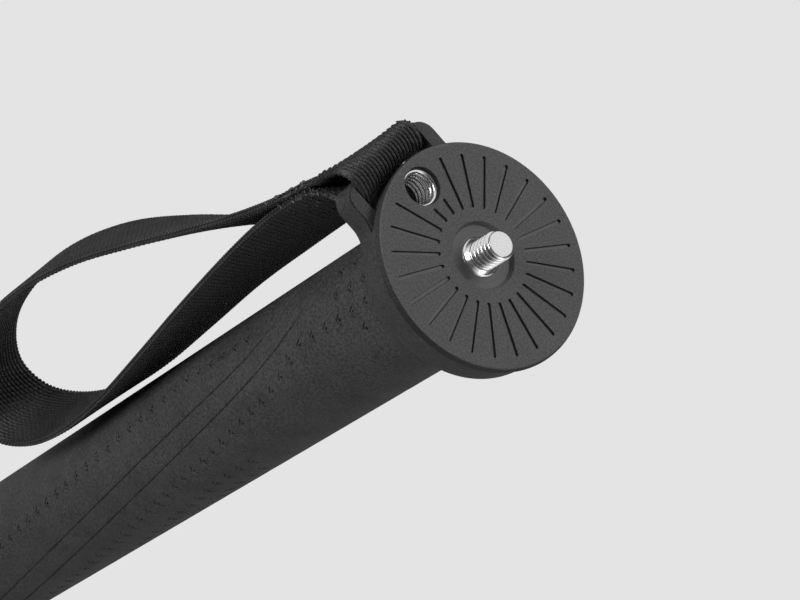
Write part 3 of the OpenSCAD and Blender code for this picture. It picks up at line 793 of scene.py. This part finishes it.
def yarn_motif(length, width, height):
    """One raised yarn: a rounded float that dips into the webbing at both ends, along X."""
    round_of = [(-1.0, -0.5), (-0.62, 0.62), (0.0, 1.0), (0.62, 0.62), (1.0, -0.5)]
    points = [(-length / 2, 0, -0.4 * height), (length / 2, 0, -0.4 * height)]
    for x in (-0.24, 0.24):
        points += [(x * length, y * width / 2, z * height) for y, z in round_of]
    faces = [(2 + k, 3 + k, 8 + k, 7 + k)[::-1] for k in range(4)]
    faces += [(0, 3 + k, 2 + k) for k in range(4)] + [(1, 7 + k, 8 + k) for k in range(4)]
    faces += [(0, 2, 7, 1, 11, 6)]
    mesh = mesh_of("yarn", points, faces)
    mesh.shade_smooth()
    return mesh


def bead_motif(radius, stretch):
    """A small loop of yarn at the webbing's edge."""
    work = bmesh.new()
    bmesh.ops.create_uvsphere(work, u_segments=6, v_segments=4, radius=radius)
    bmesh.ops.scale(work, vec=(stretch, 1, 1), verts=work.verts)
    mesh = bpy.data.meshes.new("loop")
    work.to_mesh(mesh)
    work.free()
    mesh.shade_smooth()
    return mesh


def rib_width(sizes):
    """Width of one rib between the two plain edges."""
    return (sizes.width - 2 * SELVEDGE) / sizes.ribs


def webbing_band(strap, sizes):
    """The closed band with its ribs and rounded edges."""
    half, thick = sizes.width / 2, sizes.thickness / 2
    rib = rib_width(sizes)
    face = []
    for j in range(sizes.ribs):
        for across, rise in ((0, 0), (0.14, 0.55), (0.3, 0.92), (0.5, 1), (0.7, 0.92), (0.86, 0.55)):
            face.append((half - SELVEDGE - (j + across) * rib, thick + rise * sizes.rib_rise))
    face.append((SELVEDGE - half, thick))
    section = face + [(-half, 0.4 * thick), (-half, -0.4 * thick)]
    section += [(u, -v) for u, v in reversed(face)] + [(half, -0.4 * thick), (half, 0.4 * thick)]
    count, ring = len(strap.places), len(section)
    points = [place + u * side + v * out - Vector((bow * u * u, 0, 0))
              for place, side, out, bow in zip(strap.places, strap.across, strap.out, strap.bow)
              for u, v in section]
    faces = [(i * ring + k, ((i + 1) % count) * ring + k,
              ((i + 1) % count) * ring + (k + 1) % ring, i * ring + (k + 1) % ring)
             for i in range(count) for k in range(ring)]
    mesh = mesh_of("strap_webbing", points, faces)
    face_outward(mesh)
    smooth(mesh, 70)
    mesh.materials.append(MATERIALS["webbing"])
    mesh.materials.append(MATERIALS["webbing_ground"])
    # Faces in the valleys between ribs take the painted-shade ground material.
    for i, part in enumerate(mesh.polygons):
        k = i % ring
        if k < len(face) - 1 and k % 6 in (0, 5):
            part.material_index = 1
        elif len(face) + 2 <= k < 2 * len(face) + 1 and (k - len(face) - 2) % 6 in (0, 5):
            part.material_index = 1
    return new_object("strap_webbing", mesh)


def yarn_places(strap, sizes, dice):
    """Where the raised yarns lie on both faces of the webbing."""
    places = []
    rib = rib_width(sizes)
    picks = round(strap.length / sizes.pick)
    pick = strap.length / picks
    for face in (1, -1):
        for j in range(sizes.ribs):
            across = (j - (sizes.ribs - 1) / 2) * rib
            for i in range(picks):
                distance = (i + 0.37 * j * face) * pick + dice.uniform(-0.05, 0.05) * pick
                place, run, side, out = strap.at(distance, across)
                lean = run * math.cos(sizes.twill) + side * math.sin(sizes.twill) * face
                level = sizes.thickness / 2 + sizes.rib_rise - 0.05 * MM
                places.append(on_axes(place + out * face * level, lean, out * face))
    return places


def edge_places(strap, sizes):
    """Where the yarn loops stand along both edges."""
    places = []
    pitch = 1.05 * MM
    count = round(strap.length / pitch)
    eye_low = BAR.z - 9 * MM
    rise = 0.32 * MM
    for edge in (1, -1):
        for i in range(count):
            for level in (-rise, rise):
                distance = (i + (0.25 if level > 0 else -0.25)) * strap.length / count
                place, run, side, out = strap.at(distance, edge * (sizes.width / 2 - 0.1 * MM))
                lean = run + 0.35 * out * (1 if level > 0 else -1)
                size = 0.6 if place.z > eye_low else 1.35
                places.append(on_axes(place + out * level, lean, side * edge) @ Matrix.Scale(size, 4))
    return places


def stitch_places(strap, sizes, dice):
    """Thread stitches of the sewn stretch, in rough rows on the outer faces of both plies."""
    places = []
    sewn_low, sewn_high = -27.0 * MM, -9.5 * MM
    on_face, on_edge = 5, 7
    for i, middle in enumerate(strap.places):
        if not sewn_low < middle.z - BAR.z < sewn_high:
            continue
        for k in range(on_face + on_edge):
            edge = k >= on_face
            across = (dice.uniform(0.4, 0.53) if edge else dice.uniform(-0.46, 0.46)) * sizes.width
            place, run, side, out = strap.at(strap.starts[i] + dice.uniform(0, 1) * MM, across)
            lift = dice.uniform(-0.6, 0.5) * MM if edge else sizes.thickness / 2 + 0.35 * MM
            lean = side * dice.uniform(-1, 1) + run * dice.uniform(-1.1, 1.1)
            places.append(on_axes(place + out * lift, lean, out + side * (0.8 if edge else 0)))
    return places


class MONOPOD_OT_wrist_strap(bpy.types.Operator):
    """Woven wrist strap with raised yarns, edge loops and the stitches of its sewn stretch"""

    bl_idname = "monopod.wrist_strap"
    bl_label = "Wrist Strap"

    def execute(self, context):
        sizes = context.scene.monopod_strap
        dice = random.Random(7)
        strap = Webbing()
        band = webbing_band(strap, sizes)
        paint = MATERIALS["webbing"]
        yarns = scatter("strap_yarns", yarn_motif(1.75 * MM, sizes.yarn_width, sizes.yarn_rise),
                        yarn_places(strap, sizes, dice), paint)
        loops = scatter("strap_edge_loops", bead_motif(0.27 * MM, 1.6), edge_places(strap, sizes), paint)
        thread = scatter("strap_stitches", yarn_motif(1.5 * MM, 0.26 * MM, 0.24 * MM),
                         stitch_places(strap, sizes, dice), MATERIALS["webbing_thread"])
        for piece in (band, yarns, loops, thread):
            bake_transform(piece)
        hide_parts("wrist_strap")
        return {"FINISHED"}


# Grip


def swoosh(s, base, reach, turn_at, softness):
    """Angle in degrees of a curved groove at s millimetres below the seating face."""
    return base + 0.45 * s - reach * math.exp(-(s - turn_at) / softness)


def upper_groove(s):
    return max(-8.0, swoosh(s, 36, 39.5, 36.1, 13))


def lower_groove(s):
    return max(-30.0, swoosh(s, 18, 30, 50.8, 8))


GROOVES = ((lower_groove, 47.0), (upper_groove, 31.0))


def grip_angles(s, radius, sizes):
    """The angles of one row of the grip and how deep each lies, over half a turn."""
    half = math.degrees(sizes.groove_width / 2 / radius)
    anchors = [(groove(s), min(1.0, max(0.0, (s - fade) / 6))) for groove, fade in GROOVES]
    start = anchors[0][0] - 80
    stops = [start, anchors[0][0], anchors[1][0], start + 180]
    angles = []
    for k in range(3):
        low = stops[k] + (1.8 * half if k else 0)
        high = stops[k + 1] - (1.8 * half if k < 2 else 0)
        steps = (16, 8, 20)[k]
        angles += [(low + (high - low) * i / steps, 0.0) for i in range(steps if k == 2 else steps + 1)]
        if k < 2:
            centre, deep = anchors[k]
            angles += [(centre - half, 0.15 * deep), (centre - 0.3 * half, 0.95 * deep),
                       (centre + 0.3 * half, 0.95 * deep), (centre + half, 0.15 * deep)]
    return angles


def grip_mesh(sizes):
    """The rubber sleeve with its long curved grooves and a rounded lower end."""
    radius = GRIP_HIGH.x
    top, low = GRIP_HIGH.z, GRIP_LOW.z
    end = 1.2 * MM
    rows = [(top - (top - low - end) * i / 260, 0.0) for i in range(261)]
    rows += [(low + end * (1 - math.sin(math.radians(a))), end * (1 - math.cos(math.radians(a))))
             for a in (22, 45, 68, 90)]
    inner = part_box("tube_1")[1].x
    points, ring = [], 0
    for z, inset in rows:
        row = grip_angles(-z / MM, radius, sizes)
        for turn in (0, 180):
            for angle, deep in row:
                a = math.radians(angle + turn)
                r = radius - inset - deep * sizes.groove_depth
                points.append((r * math.cos(a), r * math.sin(a), z))
        ring = 2 * len(row)
    last = points[-ring:]
    first = points[:ring]
    points += [(x * inner / (radius - end), y * inner / (radius - end), z) for x, y, z in last]
    points += [(x * inner / radius, y * inner / radius, z) for x, y, z in first]
    faces = []
    count = len(rows) + 2
    for i in range(count):
        j = (i + 1) % count
        for k in range(ring):
            m = (k + 1) % ring
            faces.append((i * ring + k, j * ring + k, j * ring + m, i * ring + m))
    mesh = mesh_of("grip", points, faces)
    smooth(mesh, 60)
    return mesh


def chevron_motif(sizes, radius):
    """What one chevron cuts from the grip: a V-shaped channel, steep inside, and a pit; up is +Y."""
    w, d = sizes.chevron_width / 2, sizes.chevron_depth
    clear = 0.25 * MM
    course = [(-1.0, 0.6, 0.1), (-0.64, 0.06, 0.75), (-0.26, -0.42, 1.0), (0.0, -0.56, 1.0),
              (0.26, -0.42, 1.0), (0.64, 0.06, 0.75), (1.0, 0.6, 0.1)]
    slope = 0.75 * MM
    points = []
    for x, y, deep in course:
        outer = Vector((x * w, y * w, 0))
        inward = (Vector((0, 0.9 * w, 0)) - outer).normalized()
        wide = slope * (0.4 + 0.6 * deep)
        points += [outer + Vector((0, 0, clear)),
                   outer + inward * (wide + 0.08 * MM) + Vector((0, 0, clear)),
                   outer + inward * wide - Vector((0, 0, deep * d))]
    faces = [(0, 1, 2), (18, 20, 19)]
    for i in range(6):
        for k in range(3):
            m = (k + 1) % 3
            faces.append((3 * i + k, 3 * i + m, 3 * i + 3 + m, 3 * i + 3 + k))
    rim = len(points)
    for size, level in ((0.42, clear), (0.28, -0.6 * MM)):
        points += [Vector((size * MM * math.cos(a), 0.3 * w + size * MM * math.sin(a), level))
                   for a in (math.pi * k / 3 for k in range(6))]
    faces += [(rim + k, rim + (k + 1) % 6, rim + 6 + (k + 1) % 6, rim + 6 + k) for k in range(6)]
    faces += [tuple(range(rim, rim + 6)), tuple(range(rim + 6, rim + 12))]
    mesh = mesh_of("chevron", [(p.x, p.y, p.z - p.x * p.x / (2 * radius)) for p in points], faces)
    face_outward(mesh, triangles=True)
    return mesh


def main_column(s):
    return max(61.9, swoosh(s, 54.8, 8.6, 56, 7))


def chevron_columns():
    """Each column's angle as a function of the depth below the seating face, and its end depths."""
    return [
        (lambda s: 78.3, 19.8, 30.0),
        (main_column, 21.6, 262.0),
        (lambda s: 42.8, 20.8, 37.0),
        (lambda s: 22.3, 25.0, 31.0),
        (lambda s: 29.5 + 0.45 * max(0.0, s - 97), 69.5, 262.0),
        (lambda s: 126.5 + 0.45 * max(0.0, s - 108), 92.5, 262.0),
        (lambda s: 144.0 + 0.45 * max(0.0, s - 108), 96.0, 262.0),
    ]


def chevron_places(sizes):
    places = []
    radius = GRIP_HIGH.x
    for turn in (0, 180):
        for column, first, last in chevron_columns():
            s = first
            while s <= last:
                angle = math.radians(column(s) + turn)
                out = Vector((math.cos(angle), math.sin(angle), 0))
                ahead = math.radians(column(s + 1) + turn) - angle
                lean = Vector((-out.y, out.x, 0)) + Vector((0, 0, 1)) * (ahead * radius / MM) * 0.8
                places.append(on_axes(out * radius - Vector((0, 0, s * MM)), lean, out))
                s += sizes.chevron_pitch / MM
    return places


class MONOPOD_OT_grip(bpy.types.Operator):
    """Rubber grip with curved grooves and columns of sunk chevrons"""

    bl_idname = "monopod.grip"
    bl_label = "Grip"

    def execute(self, context):
        sizes = context.scene.monopod_grip
        rubber = MATERIALS["grip_rubber"]
        piece = new_object("grip", grip_mesh(sizes))
        piece.data.materials.append(rubber)
        piece.data.materials.append(MATERIALS["grip_cut"])
        cutter = scatter("chevrons", chevron_motif(sizes, GRIP_HIGH.x), chevron_places(sizes), rubber)
        sunk = piece.modifiers.new("Sunk chevrons", "BOOLEAN")
        sunk.operation = "DIFFERENCE"
        sunk.solver = "MANIFOLD"
        sunk.object = cutter
        before = len(piece.data.polygons)
        flatten(piece)
        bpy.data.objects.remove(cutter)
        if len(piece.data.polygons) <= before:
            raise RuntimeError("the chevrons were not cut into the grip")
        # Faces cut below the surface, in the chevrons, take the painted shade.
        low, high = GRIP_LOW.z + 2 * MM, GRIP_HIGH.z - 1 * MM
        cut_radius = GRIP_HIGH.x - 0.3 * MM
        for face in piece.data.polygons:
            reach = math.hypot(face.center.x, face.center.y)
            if low < face.center.z < high and reach < cut_radius:
                face.material_index = 1
        smooth(piece.data, 30)
        finish_piece(piece, "grip_rubber", "head", "grip_sleeve")
        return {"FINISHED"}


# Tubes, locks and foot


def body_of(node):
    """The body that carries a solid."""
    bodies = frame["record"]["behaviour"]["bodies"]
    return next(body for body, nodes in bodies.items() if node in nodes)


class MONOPOD_OT_tubes(bpy.types.Operator):
    """The four anodised tubes and the guide shells at their upper ends"""

    bl_idname = "monopod.tubes"
    bl_label = "Tubes"

    def execute(self, context):
        for n in range(1, 5):
            node = f"tube_{n}"
            dressed(node, 0.1 * MM, "black_tube" if n == 1 else "grey_tube", body_of(node))
        for n in range(2, 5):
            node = f"guide_shells_{n}"
            dressed(node, 0.08 * MM, "guide_plastic", body_of(node))
        return {"FINISHED"}


class MONOPOD_OT_lever_locks(bpy.types.Operator):
    """The three lever locks: collars, bushes, levers, pins, eye bolts and nuts"""

    bl_idname = "monopod.lever_locks"
    bl_label = "Lever Locks"

    def execute(self, context):
        for n in range(1, 4):
            for kind, bevel, slot in (
                    ("lock_collar", 0.35, "lock_plastic"), ("lock_lever", 0.4, "lever_plastic"),
                    ("guide_bush", 0.1, "guide_plastic"), ("pivot_pin", 0.2, "plated_steel"),
                    ("clamp_bolt", 0.2, "plated_steel"), ("clamp_nut", 0.25, "plated_steel")):
                node = f"{kind}_{n}"
                dressed(node, bevel * MM, slot, body_of(node))
        return {"FINISHED"}


class MONOPOD_OT_foot(bpy.types.Operator):
    """The rubber foot and the plug inside it"""

    bl_idname = "monopod.foot"
    bl_label = "Foot"

    def execute(self, context):
        dressed("rubber_foot", 0.3 * MM, "foot_rubber", body_of("rubber_foot"))
        dressed("foot_plug", 0.2 * MM, "guide_plastic", body_of("foot_plug"))
        return {"FINISHED"}


# Stage


def add_light(name, place, target, size, power, in_gloss=True):
    """A square area light that points at a target."""
    lamp = bpy.data.lights.new(name, "AREA")
    lamp.shape = "SQUARE"
    lamp.size = size
    lamp.energy = power
    light = bpy.data.objects.new(name, lamp)
    bpy.context.scene.collection.objects.link(light)
    light.visible_camera = False
    light.visible_glossy = in_gloss
    light.location = place
    light.rotation_euler = (Vector(target) - Vector(place)).to_track_quat("-Z", "Y").to_euler()
    return light


def backdrop_material(colour):
    """Pale floor that keeps most of its own tone in the camera and takes shadows softly."""
    material, shader = new_material("backdrop", colour, 0.9, specular=0.0)
    nodes, links = material.node_tree.nodes, material.node_tree.links
    glow = nodes.new("ShaderNodeEmission")
    glow.inputs["Color"].default_value = (*colour, 1.0)
    path = nodes.new("ShaderNodeLightPath")
    share = math_node(material.node_tree, "MULTIPLY", path.outputs["Is Camera Ray"], 0.9)
    mix = nodes.new("ShaderNodeMixShader")
    links.new(share, mix.inputs["Fac"])
    links.new(shader.outputs["BSDF"], mix.inputs[1])
    links.new(glow.outputs["Emission"], mix.inputs[2])
    links.new(mix.outputs["Shader"], nodes["Material Output"].inputs["Surface"])
    return material


def studio_world(colour, level):
    """Pale background for the camera, gloss and glass, with a dark panel that only gloss shows."""
    world = bpy.data.worlds.new("studio")
    bpy.context.scene.world = world
    world.use_nodes = True
    nodes, links = world.node_tree.nodes, world.node_tree.links
    path = nodes.new("ShaderNodeLightPath").outputs
    calc = partial(math_node, world.node_tree)
    clear = calc("MAXIMUM", path["Is Glossy Ray"], path["Is Transmission Ray"])
    seen = calc("MAXIMUM", path["Is Camera Ray"], clear)
    shown = nodes.new("ShaderNodeBackground")
    shown.inputs["Color"].default_value = (*colour, 1.0)
    sky = nodes.new("ShaderNodeTexCoord")
    facing = nodes.new("ShaderNodeVectorMath")
    facing.operation = "DOT_PRODUCT"
    facing.inputs[1].default_value = DARK_SIDE
    links.new(sky.outputs["Generated"], facing.inputs[0])
    panel = remap(world, facing.outputs["Value"], 0.55, 0.85, 0.0, 0.94)
    dim = calc("MULTIPLY", panel, path["Is Glossy Ray"])
    links.new(calc("SUBTRACT", 1.0, dim), shown.inputs["Strength"])
    light = nodes["Background"]
    light.inputs["Color"].default_value = (1.0, 1.0, 1.0, 1.0)
    light.inputs["Strength"].default_value = level
    mix = nodes.new("ShaderNodeMixShader")
    links.new(seen, mix.inputs["Fac"])
    links.new(light.outputs[0], mix.inputs[1])
    links.new(shown.outputs[0], mix.inputs[2])
    links.new(mix.outputs[0], nodes["World Output"].inputs["Surface"])


class MONOPOD_OT_stage(bpy.types.Operator):
    """Camera at the photograph's angle, soft studio light and a pale floor"""

    bl_idname = "monopod.stage"
    bl_label = "Stage"

    lens: FloatProperty(name="Lens", description="Focal length in millimetres", default=171.65)
    level: FloatProperty(name="Ambient level", description="Strength of the even light", default=0.17)

    def execute(self, context):
        scene = context.scene
        colours = scene.monopod_colours
        camera_data = bpy.data.cameras.new("camera")
        camera_data.lens = self.lens
        camera_data.sensor_width = 36.0
        camera_data.clip_start = 0.01
        camera_data.clip_end = 50.0
        camera = bpy.data.objects.new("camera", camera_data)
        camera.location = Vector((92.53, 440.1, 580.75)) * MM
        camera.rotation_euler = tuple(math.radians(a) for a in (21.327, -30.136, -139.587))
        scene.collection.objects.link(camera)
        scene.camera = camera
        scene.view_settings.view_transform = "Standard"
        reach = sum(joint["range_m"][1] for joint in frame["joints"] if "range_m" in joint)
        floor_z = FOOT_LOW.z - reach
        span = 20.0
        corners = [(x * span, y * span, floor_z) for x, y in ((-1, -1), (1, -1), (1, 1), (-1, 1))]
        floor = new_object("floor", mesh_of("floor", corners, [(0, 1, 2, 3)]))
        floor.data.materials.append(backdrop_material(colours.background))
        studio_world(colours.background, self.level)
        add_light("top_softbox", (-0.1, -0.5, 0.86), (0, 0, 0), 0.35, 4.6, False)
        add_light("left_softbox", (0.78, 0.6, 0.16), (0, 0, -0.06), 0.5, 5.2)
        add_light("right_softbox", (-0.9, 0.35, 0.16), (0, 0, -0.06), 0.5, 1.3)
        return {"FINISHED"}


class MONOPOD_PT_panel(bpy.types.Panel):
    """Lists the monopod's steps in the sidebar"""

    bl_label = "Camera Monopod"
    bl_idname = "MONOPOD_PT_panel"
    bl_space_type = "VIEW_3D"
    bl_region_type = "UI"
    bl_category = "Monopod"

    def draw(self, context):
        layout = self.layout
        for step in STEPS:
            layout.operator(step.bl_idname)
        for group in (context.scene.monopod_threads, context.scene.monopod_strap,
                      context.scene.monopod_grip, context.scene.monopod_colours):
            box = layout.box()
            for name in group.bl_rna.properties.keys():
                if name not in ("rna_type", "name"):
                    box.prop(group, name)


GROUPS = {
    "monopod_threads": MonopodThreads,
    "monopod_strap": MonopodStrap,
    "monopod_grip": MonopodGrip,
    "monopod_colours": MonopodColours,
}
STEPS = (
    MONOPOD_OT_stage,
    MONOPOD_OT_wrist_strap,
    MONOPOD_OT_seating_pad,
    MONOPOD_OT_camera_screw,
    MONOPOD_OT_thread_bush,
    MONOPOD_OT_head_collar,
    MONOPOD_OT_grip,
    MONOPOD_OT_tubes,
    MONOPOD_OT_lever_locks,
    MONOPOD_OT_foot,
)


def register():
    for kind in (*GROUPS.values(), *STEPS, MONOPOD_PT_panel):
        bpy.utils.register_class(kind)
    for name, kind in GROUPS.items():
        setattr(bpy.types.Scene, name, PointerProperty(type=kind))


def unregister():
    for name in GROUPS:
        delattr(bpy.types.Scene, name)
    for kind in (MONOPOD_PT_panel, *STEPS, *GROUPS.values()):
        bpy.utils.unregister_class(kind)


def main():
    register()
    make_materials(bpy.context.scene.monopod_colours)
    TREES.update(thread=thread_tree(), scatter=scatter_tree())
    for step in STEPS:
        group, name = step.bl_idname.split(".")
        getattr(getattr(bpy.ops, group), name)()


if __name__ == "__main__":
    main()
